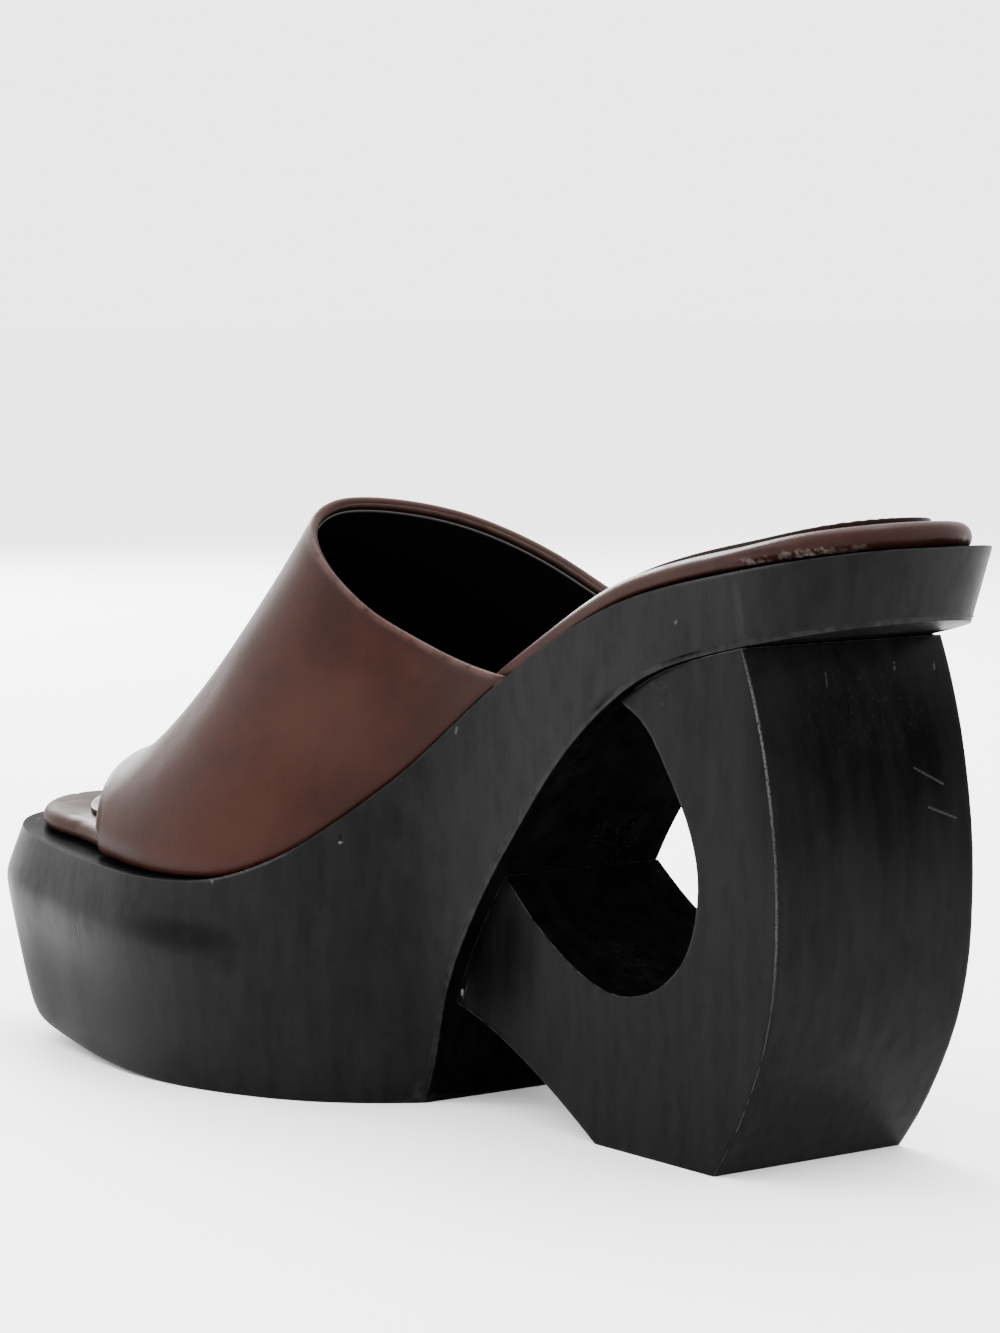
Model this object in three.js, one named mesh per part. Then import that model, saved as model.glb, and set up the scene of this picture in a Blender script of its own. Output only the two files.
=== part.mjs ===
// A platform mule for the right foot: a carved black wood body, a bowed wood heel block
// with a hole through it, a padded insole with a raised sock, and one wide leather band.
// Frame while modelling: x runs from the heel end of the wood rim to the toe, y points to the
// inner (medial) side, z is up from the floor. The group is centred over the floor at the end.
import * as THREE from 'three';
import { mergeVertices } from 'three/addons/utils/BufferGeometryUtils.js';

// Driving sizes of the wood body, in millimetres
const LENGTH = 244.7;
const BALL_WIDTH = 84.2;
const HEEL_WIDTH = 49.7;
const BALL_SWING = 12.2;
const TOE_TIP_SWING = 22;
const HEEL_HEIGHT = 114;
const PLATFORM_HEIGHT = 41.6;
const TOE_SPRING = 9.4;
const HEEL_ROUND = 27.6;
const SEAT_OVERHANG = 1.3;
const TOE_ROUND_MEDIAL = 33;
const TOE_ROUND_LATERAL = 57;
const RIDGE_OUT = 4.1;
const FLOOR_TUCK = 8.6;
const SEAT_LEAN = 0.28;
const WAIST_TUCK = 8.9;

// Driving sizes of the heel block
const HEEL_SETBACK = 32.2;
const BLOCK_WIDTH = 46;
const BLOCK_BOW = 17.8;
const BLOCK_FOOT = 35.3;
const BLOCK_TOP_FLARE = 0.012;
const BLOCK_TAPER_MEDIAL = 0.045;
const BLOCK_TAPER_LATERAL = 0.096;
const HOLE_BACK_WALL = 4.3;
const HOLE_LENGTH = 60.1;
const HOLE_BASE = 29;

// Driving sizes of the insole and sock
const INSOLE_THICKNESS = 4.2;
const INSOLE_EDGE_ROUND = 3;
const SOCK_THICKNESS = 0.9;
const SOCK_MARGIN = 6.6;
const SOCK_HEEL_SETBACK = 8.6;
const SOCK_TOE_SETBACK = 12;

// Driving sizes of the leather band
const LEATHER = 2;
const INSTEP_HEIGHT = 70;
const FOOT_STRIP = 4.6;
const TOPLINE_TILT = 5.5;
const TOE_EDGE_CENTRE = 13;
const TOE_EDGE_SPAN = 36.8;
const TOE_EDGE_BOW_MEDIAL = 23.2;
const TOE_EDGE_BOW_LATERAL = 36.8;

// Clearance between pieces that touch, how square the plan's round ends are, and the step
// over which a slope is measured
const SEAT_GAP = 0.3;
const HEEL_POWER = 2.5;
const TOE_POWER = 2.1;
const SLOPE_STEP = 0.5;

// Plan of the rim: flare goes from the heel's half width to the ball's, swing from the
// heel's middle line to the ball's, both as shares, at a share of the length
const PLAN = [
  { along: 0, flare: 0, swing: 0 },
  { along: 0.3, flare: 0, swing: 0 },
  { along: 0.39, flare: 0.045, swing: -0.03 },
  { along: 0.445, flare: 0.14, swing: -0.02 },
  { along: 0.48, flare: 0.27, swing: 0.08 },
  { along: 0.51, flare: 0.46, swing: 0.25 },
  { along: 0.545, flare: 0.66, swing: 0.44 },
  { along: 0.585, flare: 0.83, swing: 0.63 },
  { along: 0.64, flare: 0.98, swing: 0.82 },
  { along: 0.715, flare: 1, swing: 1 },
  { along: 0.79, flare: 0.86, swing: 1.1 },
  { along: 0.865, flare: 0.63, swing: 1.2 },
  { along: 0.94, flare: 0.42, swing: 1.37 },
  { along: 1, flare: 0.28, swing: 1.52 },
];

// Side view of the rim: rise from the platform's height to the heel's height
const RIM = [
  { along: 0, rise: 1 },
  { along: 0.1, rise: 0.938 },
  { along: 0.19, rise: 0.876 },
  { along: 0.24, rise: 0.828 },
  { along: 0.29, rise: 0.757 },
  { along: 0.34, rise: 0.668 },
  { along: 0.39, rise: 0.566 },
  { along: 0.43, rise: 0.466 },
  { along: 0.475, rise: 0.332 },
  { along: 0.515, rise: 0.208 },
  { along: 0.55, rise: 0.114 },
  { along: 0.585, rise: 0.053 },
  { along: 0.62, rise: 0.015 },
  { along: 0.66, rise: 0.002 },
  { along: 0.7, rise: 0 },
  { along: 0.78, rise: 0.014 },
  { along: 0.88, rise: 0.036 },
  { along: 1, rise: 0.06 },
];

// Side view of the hollow behind the platform and under the seat, as shares of the heel height
const UNDERSIDE = [
  { along: 0, up: 0.888 },
  { along: 0.0955, up: 0.845 },
  { along: 0.151, up: 0.818 },
  { along: 0.186, up: 0.796 },
  { along: 0.223, up: 0.761 },
  { along: 0.2665, up: 0.7 },
  { along: 0.3143, up: 0.61 },
  { along: 0.369, up: 0.474 },
  { along: 0.406, up: 0.3726 },
  { along: 0.437, up: 0.272 },
  { along: 0.4586, up: 0.18 },
  { along: 0.472, up: 0.098 },
  { along: 0.4835, up: 0 },
];
const CUT_CORNER_SHARE = 0.4835;
const SPRING_START_SHARE = 0.625;

// How far the wall stands out of the rim on its way down to the floor, in shares of the ridge
const WALL_LEVELS = [
  { down: 0, out: 0 },
  { down: 0.12, out: 0.46 },
  { down: 0.2, out: 0.77 },
  { down: 0.25, out: 0.94 },
  { down: 0.29, out: 1 },
  { down: 0.34, out: 0.97 },
  { down: 0.45, out: 0.84 },
  { down: 0.65, out: 0.58 },
  { down: 0.85, out: 0.28 },
  { down: 0.96, out: 0.06 },
  { down: 1, out: -0.1 },
];
// Where along the length that ridge shows, where the foot of the wall is tucked in, where the
// seat's wall leans in, and where the outer wall draws in under the waist
const WALL_SHARES = [
  { along: 0, ridge: 0, tuck: 0, lean: 1, waist: 0 },
  { along: 0.1, ridge: 0, tuck: 0, lean: 0.4, waist: 0 },
  { along: 0.2, ridge: 0, tuck: 0, lean: 0, waist: 0.15 },
  { along: 0.24, ridge: 0, tuck: 0.02, lean: 0, waist: 0.34 },
  { along: 0.3, ridge: 0, tuck: 0.05, lean: 0, waist: 0.78 },
  { along: 0.35, ridge: 0, tuck: 0.1, lean: 0, waist: 1 },
  { along: 0.39, ridge: 0, tuck: 0.15, lean: 0, waist: 0.84 },
  { along: 0.45, ridge: 0, tuck: 0.5, lean: 0, waist: 0.32 },
  { along: 0.4835, ridge: 0, tuck: 1, lean: 0, waist: 0.08 },
  { along: 0.505, ridge: 0.03, tuck: 0.5, lean: 0, waist: 0 },
  { along: 0.54, ridge: 0.1, tuck: 0.22, lean: 0, waist: 0 },
  { along: 0.62, ridge: 0.3, tuck: 0.24, lean: 0, waist: 0 },
  { along: 0.72, ridge: 0.55, tuck: 0.26, lean: 0, waist: 0 },
  { along: 0.82, ridge: 0.85, tuck: 0.26, lean: 0, waist: 0 },
  { along: 0.92, ridge: 1, tuck: 0.24, lean: 0, waist: 0 },
  { along: 1, ridge: 1, tuck: 0.24, lean: 0, waist: 0 },
];

// Back of the heel block: how far it bows out on its way up to the seat
const BOW = [
  { up: 0, out: 0 },
  { up: 0.1, out: 0.38 },
  { up: 0.24, out: 0.76 },
  { up: 0.37, out: 0.95 },
  { up: 0.5, out: 1 },
  { up: 0.64, out: 0.97 },
  { up: 0.8, out: 0.82 },
  { up: 0.92, out: 0.63 },
];
// Places along the underside where the block's pieces of outline meet it
const BLOCK_BACK_SHARE = 0.0985;
const HOLE_END_SHARE = 0.2425;
const STRUT_TOP_SHARE = 0.391;
const STRUT_FOOT_SHARE = 0.4586;
// Edge of the hole, from its top down the back and along its base to the strut: along is a
// share of the hole's length, up one of the rise from its base to the wood over it
const HOLE = [
  { along: 0.25, up: 0.924 },
  { along: 0.133, up: 0.765 },
  { along: 0.037, up: 0.593 },
  { along: 0, up: 0.41 },
  { along: 0.05, up: 0.2 },
  { along: 0.193, up: 0.055 },
  { along: 0.394, up: 0 },
  { along: 0.602, up: 0.054 },
  { along: 0.822, up: 0.19 },
];
// Handles of the strut's lower edge, as shares of its run and its rise
const STRUT_HANDLES = [
  { along: 0.34, up: 0.46 },
  { along: 0.7, up: 0.87 },
];

// Rounded edge of the insole: how far its outline draws in at each share of its thickness
const INSOLE_EDGE = [
  { up: 0, draw: 0.35 },
  { up: 0.12, draw: 0.12 },
  { up: 0.32, draw: 0 },
  { up: 0.55, draw: 0.03 },
  { up: 0.75, draw: 0.17 },
  { up: 0.9, draw: 0.45 },
  { up: 0.98, draw: 0.75 },
  { up: 1, draw: 1 },
];
// Margin between the rim and the insole behind the band, as shares of the one at the heel end
const INSOLE_HEEL_MARGIN = 3.6;
const HEEL_MARGINS = [
  { along: 0, share: 1 },
  { along: 0.06, share: 0.55 },
  { along: 0.13, share: 0.34 },
  { along: 0.3, share: 0.34 },
];
const BAND_FROM_SHARE = 0.24;
const BAND_TO_SHARE = 0.345;
// Past the band's foot the insole fills the toe out to its own margin
const INSOLE_TOE_MARGIN = 4.4;
const TOE_FILL_FROM_SHARE = 0.83;
const TOE_FILL_TO_SHARE = 0.93;

// Margin between the rim and the band, as shares of the widest margin at the toe
const BAND_MARGIN = 4.6;
const BAND_MARGINS = [
  { along: 0.357, share: 0.16 },
  { along: 0.51, share: 0.2 },
  { along: 0.66, share: 0.5 },
  { along: 0.81, share: 0.8 },
  { along: 0.94, share: 1 },
];

// Sections of the band: its ridge over the rim as a share of the instep height, the ridge's
// place across, the side handle's length, and how far the inner side leans in
const SECTIONS = [
  { along: 0.357, rise: 1.71, across: 0.36, side: 0.377, lean: -0.045 },
  { along: 0.47, rise: 1.53, across: 0.4, side: 0.361, lean: 0.037 },
  { along: 0.575, rise: 1.332, across: 0.434, side: 0.346, lean: 0.113 },
  { along: 0.665, rise: 0.965, across: 0.466, side: 0.333, lean: 0.178 },
  { along: 0.752, rise: 0.61, across: 0.496, side: 0.321, lean: 0.241 },
  { along: 0.827, rise: 0.365, across: 0.522, side: 0.311, lean: 0.295 },
  { along: 0.902, rise: 0.23, across: 0.55, side: 0.3, lean: 0.35 },
];
const RIDGE_HANDLE = 0.38;

// Side view of the topline where the foot goes in, as shares of the heel height
const TOPLINE = [
  { along: 0.34, up: 0.748 },
  { along: 0.375, up: 0.751 },
  { along: 0.432, up: 0.773 },
  { along: 0.489, up: 0.824 },
  { along: 0.545, up: 0.9 },
  { along: 0.6, up: 0.971 },
  { along: 0.647, up: 1.02 },
  { along: 0.695, up: 1.079 },
];
const TOE_EDGE_SHARE = 0.889;

// Curves through the tables: each gives a function of the first column
function through(rows, from, to) {
  const at = rows.map((row) => row[from]);
  const values = rows.map((row) => row[to]);
  const spline = new THREE.CubicInterpolant(at, values, 1);
  return (place) => spline.evaluate(place)[0];
}
const flareAt = through(PLAN, 'along', 'flare');
const swingAt = through(PLAN, 'along', 'swing');
const riseAt = through(RIM, 'along', 'rise');
const undersideAt = through(UNDERSIDE, 'along', 'up');
const ridgeShareAt = through(WALL_SHARES, 'along', 'ridge');
const tuckShareAt = through(WALL_SHARES, 'along', 'tuck');
const leanShareAt = through(WALL_SHARES, 'along', 'lean');
const waistShareAt = through(WALL_SHARES, 'along', 'waist');
const heelMarginAt = through(HEEL_MARGINS, 'along', 'share');
const bandMarginAt = through(BAND_MARGINS, 'along', 'share');
const toplineAt = through(TOPLINE, 'along', 'up');
const sectionAt = {
  rise: through(SECTIONS, 'along', 'rise'),
  across: through(SECTIONS, 'along', 'across'),
  side: through(SECTIONS, 'along', 'side'),
  lean: through(SECTIONS, 'along', 'lean'),
};

// Height of the rim, and of a place that lies a given thickness square above it
function rimHeight(x) {
  return PLATFORM_HEIGHT + (HEEL_HEIGHT - PLATFORM_HEIGHT) * riseAt(x / LENGTH);
}
function slopeStretch(x) {
  const slope = (rimHeight(x + SLOPE_STEP) - rimHeight(x - SLOPE_STEP)) / (2 * SLOPE_STEP);
  return Math.sqrt(1 + slope * slope);
}
function above(x, thickness) {
  return rimHeight(x) + thickness * slopeStretch(x);
}

// Height of the wood's lower face: the hollow behind the corner, the floor, then the toe spring
function lowerHeight(x) {
  if (x < CUT_CORNER_SHARE * LENGTH) {
    return HEEL_HEIGHT * undersideAt(x / LENGTH);
  }
  const start = SPRING_START_SHARE * LENGTH;
  const share = Math.max(0, (x - start) / (LENGTH - start));
  return TOE_SPRING * share * share;
}

// Plan outline, drawn in by an inset that may change along the length
function roundEnd(distance, depth, power) {
  const share = THREE.MathUtils.clamp(1 - distance / depth, 0, 1);
  return Math.pow(1 - Math.pow(share, power), 1 / power);
}
function planSide(x, side) {
  const half = HEEL_WIDTH / 2 + ((BALL_WIDTH - HEEL_WIDTH) / 2) * flareAt(x / LENGTH);
  return BALL_SWING * swingAt(x / LENGTH) + side * half;
}
function sideStretch(x, side) {
  const run = planSide(x + SLOPE_STEP, side) - planSide(x - SLOPE_STEP, side);
  return Math.hypot(1, run / (2 * SLOPE_STEP));
}
function planPoint(x, side, inset, heelEnd, toeEnd) {
  const toeRound = side > 0 ? TOE_ROUND_MEDIAL : TOE_ROUND_LATERAL;
  const heelShare = roundEnd(x - heelEnd, HEEL_ROUND - inset, HEEL_POWER);
  const toeShare = roundEnd(toeEnd - x, toeRound - inset, TOE_POWER);
  const edge = planSide(x, side) - side * inset;
  if (toeShare < 1) {
    return TOE_TIP_SWING + (edge - TOE_TIP_SWING) * toeShare;
  }
  return edge * heelShare;
}

// Stations along the length: close together round the ends and at the corner of the cut
const HEEL_STEPS = 8;
const SEAT_STEPS = 15;
const FORE_STEPS = 11;
const TOE_STEPS = 12;
const CORNER_STATIONS = [0.446, 0.4586, 0.467, 0.474, 0.4795];
const CORNER_FROM_SHARE = 0.43;
const HEEL_END_SHARE = 0.12;
const TOE_END_SHARE = 0.2;
function stations() {
  const list = [];
  for (let i = 0; i < HEEL_STEPS; i += 1) {
    const angle = ((i + 0.5) / HEEL_STEPS) * (Math.PI / 2);
    list.push((HEEL_ROUND * (1 - Math.cos(angle))) / LENGTH);
  }
  const seatStart = HEEL_ROUND / LENGTH;
  for (let i = 0; i < SEAT_STEPS; i += 1) {
    list.push(seatStart + ((CORNER_FROM_SHARE - seatStart) * (i + 0.5)) / (SEAT_STEPS - 0.5));
  }
  list.push(...CORNER_STATIONS, CUT_CORNER_SHARE);
  const foreEnd = 1 - TOE_ROUND_LATERAL / LENGTH;
  for (let i = 1; i <= FORE_STEPS; i += 1) {
    list.push(CUT_CORNER_SHARE + ((foreEnd - CUT_CORNER_SHARE) * (i - 0.3)) / FORE_STEPS);
  }
  for (let i = TOE_STEPS - 1; i >= 0; i -= 1) {
    const angle = ((i + 0.5) / TOE_STEPS) * (Math.PI / 2);
    list.push(1 - (TOE_ROUND_LATERAL * (1 - Math.cos(angle))) / LENGTH);
  }
  return list;
}

// One closed ring round the plan: out along the inner side, back along the outer side, with
// matched points at the same x, so that a cap between them is ruled straight across
function planRing(insetAt, heightAt) {
  const heelEnd = insetAt(0, 1) - SEAT_OVERHANG;
  const toeEnd = LENGTH - insetAt(1, 1);
  const medial = [];
  const lateral = [];
  for (const share of stations()) {
    const heelShift = heelEnd * Math.max(0, 1 - share / HEEL_END_SHARE);
    const toeShift = (LENGTH - toeEnd) * Math.max(0, (share - 1 + TOE_END_SHARE) / TOE_END_SHARE);
    const x = share * LENGTH + heelShift - toeShift;
    const z = heightAt(x);
    medial.push(new THREE.Vector3(x, planPoint(x, 1, insetAt(share, 1), heelEnd, toeEnd), z));
    lateral.push(new THREE.Vector3(x, planPoint(x, -1, insetAt(share, -1), heelEnd, toeEnd), z));
  }
  return medial.concat(lateral.reverse());
}

// A closed solid from a stack of rings with as many points each; the first and last ring are
// capped by ladders between matched points
function loft(rings) {
  const count = rings[0].length;
  const positions = [];
  const faces = [];
  rings.forEach((ring) => ring.forEach((point) => positions.push(point.x, point.y, point.z)));
  for (let k = 0; k + 1 < rings.length; k += 1) {
    for (let i = 0; i < count; i += 1) {
      const j = (i + 1) % count;
      const a = k * count;
      const b = (k + 1) * count;
      faces.push(a + i, a + j, b + j, a + i, b + j, b + i);
    }
  }
  const last = (rings.length - 1) * count;
  for (let i = 0; i + 1 < count / 2; i += 1) {
    const far = count - 1 - i;
    faces.push(i, far, far - 1, i, far - 1, i + 1);
    faces.push(last + i, last + far - 1, last + far, last + i, last + i + 1, last + far - 1);
  }
  const geometry = new THREE.BufferGeometry();
  geometry.setAttribute('position', new THREE.Float32BufferAttribute(positions, 3));
  geometry.setIndex(faces);
  return outward(geometry);
}

// Turns every face round where the solid is inside out
function outward(geometry) {
  const index = geometry.getIndex();
  const place = geometry.getAttribute('position');
  const corners = [new THREE.Vector3(), new THREE.Vector3(), new THREE.Vector3()];
  let volume = 0;
  for (let i = 0; i < index.count; i += 3) {
    corners.forEach((corner, k) => corner.fromBufferAttribute(place, index.getX(i + k)));
    volume += corners[0].dot(corners[1].clone().cross(corners[2]));
  }
  if (volume < 0) {
    for (let i = 0; i < index.count; i += 3) {
      const second = index.getX(i + 1);
      index.setX(i + 1, index.getX(i + 2));
      index.setX(i + 2, second);
    }
  }
  geometry.computeVertexNormals();
  return geometry;
}

// The carved wood body: platform, arch and heel seat in one
function platformGeometry() {
  const rings = WALL_LEVELS.map((level) => {
    const insetAt = (share, side) => {
      const depth = level.down * (rimHeight(share * LENGTH) - lowerHeight(share * LENGTH));
      const ridge = RIDGE_OUT * ridgeShareAt(share) * level.out;
      const tuck = FLOOR_TUCK * tuckShareAt(share) * level.down;
      const waist = side < 0 ? WAIST_TUCK * waistShareAt(share) * level.down : 0;
      return tuck + waist + SEAT_LEAN * leanShareAt(share) * depth - ridge;
    };
    const heightAt = (x) => {
      const held = THREE.MathUtils.clamp(x, 0, LENGTH);
      return THREE.MathUtils.lerp(rimHeight(held), lowerHeight(held), level.down);
    };
    return planRing(insetAt, heightAt);
  });
  return loft(rings);
}

// The heel block: one side outline, cut through across, then drawn in towards the front
const BACK_STEPS = 22;
const TOP_STEPS = 8;
const HOLE_STEPS = 40;
const STRUT_END_STEPS = 6;
const STRUT_STEPS = 12;
function underPoint(share) {
  const x = share * LENGTH;
  const step = SLOPE_STEP;
  const slope = (lowerHeight(x + step) - lowerHeight(x - step)) / (2 * step);
  const stretch = Math.sqrt(1 + slope * slope);
  const gap = SEAT_GAP / stretch;
  return new THREE.Vector2(x + slope * gap, lowerHeight(x) - gap);
}
function underRun(from, to, steps) {
  const points = [];
  for (let i = 0; i <= steps; i += 1) {
    points.push(underPoint(THREE.MathUtils.lerp(from, to, i / steps)));
  }
  return points;
}
function blockOutline() {
  const backTop = underPoint(BLOCK_BACK_SHARE);
  const bow = BOW.map(
    (row) => new THREE.Vector2(HEEL_SETBACK - BLOCK_BOW * row.out, backTop.y * row.up),
  );
  const back = new THREE.SplineCurve([...bow, backTop]).getPoints(BACK_STEPS);
  const seat = underRun(BLOCK_BACK_SHARE, HOLE_END_SHARE, TOP_STEPS);
  const holeEnds = [underPoint(HOLE_END_SHARE), underPoint(STRUT_TOP_SHARE)];
  const holeRise = holeEnds[0].y - HOLE_BASE;
  const holeEdge = HOLE.map(
    (row) =>
      new THREE.Vector2(
        HEEL_SETBACK + HOLE_BACK_WALL + HOLE_LENGTH * row.along,
        HOLE_BASE + holeRise * row.up,
      ),
  );
  const holeCurve = new THREE.SplineCurve([holeEnds[0], ...holeEdge, holeEnds[1]]);
  const hole = holeCurve.getPoints(HOLE_STEPS);
  const strutEnd = underRun(STRUT_TOP_SHARE, STRUT_FOOT_SHARE, STRUT_END_STEPS);
  const foot = new THREE.Vector2(HEEL_SETBACK + BLOCK_FOOT, 0);
  const tip = strutEnd[strutEnd.length - 1];
  const handles = STRUT_HANDLES.map(
    (row) =>
      new THREE.Vector2(
        THREE.MathUtils.lerp(foot.x, tip.x, row.along),
        THREE.MathUtils.lerp(foot.y, tip.y, row.up),
      ),
  );
  const strutCurve = new THREE.CubicBezierCurve(tip, handles[1], handles[0], foot);
  const strut = strutCurve.getPoints(STRUT_STEPS);
  return [
    ...back,
    ...seat.slice(1),
    ...hole.slice(1),
    ...strutEnd.slice(1),
    ...strut.slice(1),
  ];
}
function blockGeometry() {
  const shape = new THREE.Shape(blockOutline());
  const raw = new THREE.ExtrudeGeometry(shape, { depth: 1, bevelEnabled: false });
  raw.deleteAttribute('normal');
  raw.deleteAttribute('uv');
  const geometry = mergeVertices(raw);
  const place = geometry.getAttribute('position');
  for (let i = 0; i < place.count; i += 1) {
    const x = place.getX(i);
    const z = place.getY(i);
    const side = place.getZ(i) > 0.5 ? -1 : 1;
    const ahead = x - HEEL_SETBACK;
    const taper = side > 0 ? BLOCK_TAPER_MEDIAL * ahead : BLOCK_TAPER_LATERAL * Math.max(0, ahead);
    const half = BLOCK_WIDTH / 2 + BLOCK_TOP_FLARE * z - taper;
    place.setXYZ(i, x, side * half, z);
  }
  return outward(geometry);
}

// Margins of the band and of the insole inside the rim
function bandMargin(share) {
  return BAND_MARGIN * bandMarginAt(share);
}
function insoleMargin(share, side) {
  const behind = INSOLE_HEEL_MARGIN * heelMarginAt(share);
  const beside = bandMargin(share) + (LEATHER + SEAT_GAP) * sideStretch(share * LENGTH, side);
  const full = THREE.MathUtils.smoothstep(share, BAND_FROM_SHARE, BAND_TO_SHARE);
  const filled = THREE.MathUtils.smoothstep(share, TOE_FILL_FROM_SHARE, TOE_FILL_TO_SHARE);
  const held = THREE.MathUtils.lerp(behind, beside, full);
  return THREE.MathUtils.lerp(held, INSOLE_TOE_MARGIN, filled);
}

// The padded insole and the thin sock on it
function insoleGeometry() {
  const rings = INSOLE_EDGE.map((row) =>
    planRing(
      (share, side) => insoleMargin(share, side) + INSOLE_EDGE_ROUND * row.draw,
      (x) => above(x, SEAT_GAP + INSOLE_THICKNESS * row.up),
    ),
  );
  return loft(rings);
}
function sockMargin(share, side) {
  const heel = SOCK_HEEL_SETBACK * Math.max(0, 1 - share / HEEL_END_SHARE);
  const toe = SOCK_TOE_SETBACK * Math.max(0, (share - 1 + TOE_END_SHARE) / TOE_END_SHARE);
  return insoleMargin(share, side) + Math.max(SOCK_MARGIN, heel, toe);
}
function sockGeometry() {
  const base = SEAT_GAP + INSOLE_THICKNESS + SEAT_GAP;
  const under = planRing(sockMargin, (x) => above(x, base));
  const over = planRing(sockMargin, (x) => above(x, base + SOCK_THICKNESS));
  return loft([under, over]);
}

// A point on the outside of the band. Turn runs from -1 at the inner foot line over the
// ridge at 0 to 1 at the outer foot line; past STRIP_TURN the wall stands straight
const STRIP_TURN = 0.94;
const BAND_COLUMNS = 17;
const BAND_ROWS = 26;
function bandPoint(x, turn) {
  const share = x / LENGTH;
  const feet = [1, -1].map((side) => planPoint(x, side, bandMargin(share), 0, LENGTH));
  const base = above(x, SEAT_GAP);
  const side = turn < 0 ? 1 : -1;
  const foot = turn < 0 ? feet[0] : feet[1];
  const ridgeY = THREE.MathUtils.lerp(feet[0], feet[1], sectionAt.across(share));
  const strip = above(x, SEAT_GAP + FOOT_STRIP);
  const height = rimHeight(x) + INSTEP_HEIGHT * sectionAt.rise(share) - strip;
  const reach = Math.abs(turn);
  if (reach > STRIP_TURN) {
    const z = THREE.MathUtils.lerp(strip, base, (reach - STRIP_TURN) / (1 - STRIP_TURN));
    return new THREE.Vector3(x, foot, z);
  }
  const lean = turn < 0 ? sectionAt.lean(share) : 0;
  const handle = sectionAt.side(share) * height;
  const start = new THREE.Vector2(foot, strip);
  const end = new THREE.Vector2(ridgeY, strip + height);
  const low = new THREE.Vector2(foot - side * lean * handle, strip + handle);
  const high = new THREE.Vector2(THREE.MathUtils.lerp(ridgeY, foot, RIDGE_HANDLE), end.y);
  const curve = new THREE.CubicBezierCurve(end, high, low, start);
  const point = curve.getPoint(reach / STRIP_TURN);
  return new THREE.Vector3(x, point.x, point.y);
}

// Where a line along the band meets the topline, and where it meets the toe opening's edge
const HALVINGS = 40;
function solve(from, to, inside) {
  let near = from;
  let far = to;
  for (let i = 0; i < HALVINGS; i += 1) {
    const middle = (near + far) / 2;
    if (inside(middle)) {
      far = middle;
    } else {
      near = middle;
    }
  }
  return far;
}
function belowTopline(x, turn) {
  const point = bandPoint(x, turn);
  const tilt = (TOPLINE_TILT * (point.y - HEEL_WIDTH / 2)) / HEEL_WIDTH;
  return HEEL_HEIGHT * toplineAt(x / LENGTH) - tilt > point.z;
}
function pastToeEdge(x, turn) {
  const off = (bandPoint(x, turn).y - TOE_EDGE_CENTRE) / TOE_EDGE_SPAN;
  const bow = off > 0 ? TOE_EDGE_BOW_MEDIAL : TOE_EDGE_BOW_LATERAL;
  return x > TOE_EDGE_SHARE * LENGTH - bow * off * off;
}
const TOPLINE_FROM_SHARE = 0.33;
const TOPLINE_TO_SHARE = 0.69;
const TOE_EDGE_FROM_SHARE = 0.55;
const TOE_EDGE_TO_SHARE = 0.93;
function bandTurns() {
  const turns = [-1];
  for (let i = 1 - BAND_COLUMNS; i < BAND_COLUMNS; i += 1) {
    turns.push((STRIP_TURN * i) / (BAND_COLUMNS - 1));
  }
  turns.push(1);
  return turns;
}

// The outer and inner faces as two grids, the inner one set in square to the outer one
function bandGrid(turns) {
  const ends = turns.map((turn) => [
    solve(TOPLINE_FROM_SHARE * LENGTH, TOPLINE_TO_SHARE * LENGTH, (x) => belowTopline(x, turn)),
    solve(TOE_EDGE_FROM_SHARE * LENGTH, TOE_EDGE_TO_SHARE * LENGTH, (x) => pastToeEdge(x, turn)),
  ]);
  const rows = [];
  for (let k = 0; k <= BAND_ROWS; k += 1) {
    rows.push(
      turns.map((turn, i) => {
        const x = THREE.MathUtils.lerp(ends[i][0], ends[i][1], k / BAND_ROWS);
        return bandPoint(x, turn);
      }),
    );
  }
  return rows;
}
function insetGrid(rows, thickness) {
  const lastRow = rows.length - 1;
  const lastColumn = rows[0].length - 1;
  return rows.map((row, k) =>
    row.map((point, i) => {
      const onEdge = i === 0 || i === lastColumn;
      const column = onEdge ? i : THREE.MathUtils.clamp(i, 1, lastColumn - 1);
      const forward = rows[Math.min(k + 1, lastRow)][column]
        .clone()
        .sub(rows[Math.max(k - 1, 0)][column]);
      const around = row[Math.min(i + 1, lastColumn)].clone().sub(row[Math.max(i - 1, 0)]);
      const square = forward.cross(around).normalize();
      if (square.dot(new THREE.Vector3(0, point.y - TOE_EDGE_CENTRE, point.z)) < 0) {
        square.negate();
      }
      if (onEdge) {
        square.setZ(0).normalize();
      }
      const inner = point.clone().addScaledVector(square, -thickness);
      if (onEdge) {
        inner.z = above(inner.x, SEAT_GAP);
      }
      return inner;
    }),
  );
}
function bandGeometry() {
  const outer = bandGrid(bandTurns());
  const inner = insetGrid(outer, LEATHER);
  return loft(outer.map((row, k) => row.concat(inner[k].slice().reverse())));
}

function piece(name, geometry, look) {
  const mesh = new THREE.Mesh(geometry, new THREE.MeshStandardMaterial(look));
  mesh.name = name;
  return mesh;
}

const mule = new THREE.Group();
mule.add(
  piece('platform', platformGeometry(), { color: 0x1b1c1f, roughness: 0.5, metalness: 0 }),
  piece('heel_block', blockGeometry(), { color: 0x17181a, roughness: 0.5, metalness: 0 }),
  piece('insole', insoleGeometry(), { color: 0x5a342d, roughness: 0.38, metalness: 0 }),
  piece('sock', sockGeometry(), { color: 0x4a2a25, roughness: 0.5, metalness: 0 }),
  piece('upper', bandGeometry(), { color: 0x55322c, roughness: 0.42, metalness: 0 }),
);

// The origin goes to the middle of the outline on the floor
const extent = new THREE.Box3().setFromObject(mule);
const middle = extent.getCenter(new THREE.Vector3());
mule.position.set(-middle.x, -middle.y, -extent.min.z);

export default mule;
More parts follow.
